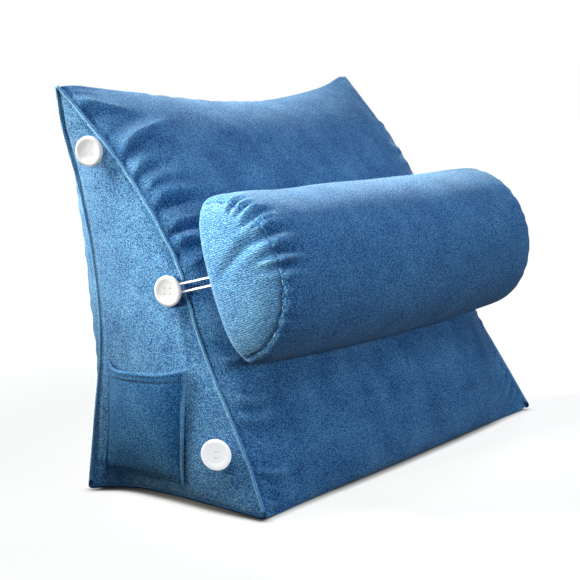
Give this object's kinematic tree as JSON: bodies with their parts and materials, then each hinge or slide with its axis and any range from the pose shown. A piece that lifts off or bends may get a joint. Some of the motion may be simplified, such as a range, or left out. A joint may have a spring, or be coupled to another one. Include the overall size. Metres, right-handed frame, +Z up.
{
  "type": "wedge reading pillow",
  "caption": "Filled wedge pillow that stands on its base as a backrest, with a neck roll held across its sloping front by elastic loops on side buttons, and a patch pocket on one side.",
  "frame": {"origin": "middle of the base, on the floor that the pillow stands on", "axes": "+Z up; -Y is the side that the sloping front and the neck roll face, +Y the back; +X is to the right as seen from the front, so the pocket is on the -X side"},
  "size_m": [0.6076, 0.3381, 0.4423],
  "materials": {
    "chenille": "short soft pile, mid blue",
    "side_cloth": "pebbly short pile, mid blue",
    "button_plastic": "smooth white",
    "elastic": "white braided elastic"
  },
  "bodies": {
    "root": {"wedge": "chenille", "bolster": "chenille", "seam_left": "chenille", "seam_right": "chenille", "pocket": "side_cloth", "button_left_top": "button_plastic", "button_left_mid": "button_plastic", "button_left_low": "button_plastic", "button_right_top": "button_plastic", "button_right_mid": "button_plastic", "button_right_low": "button_plastic", "loop_left": "elastic", "loop_right": "elastic"}
  },
  "joints": []
}
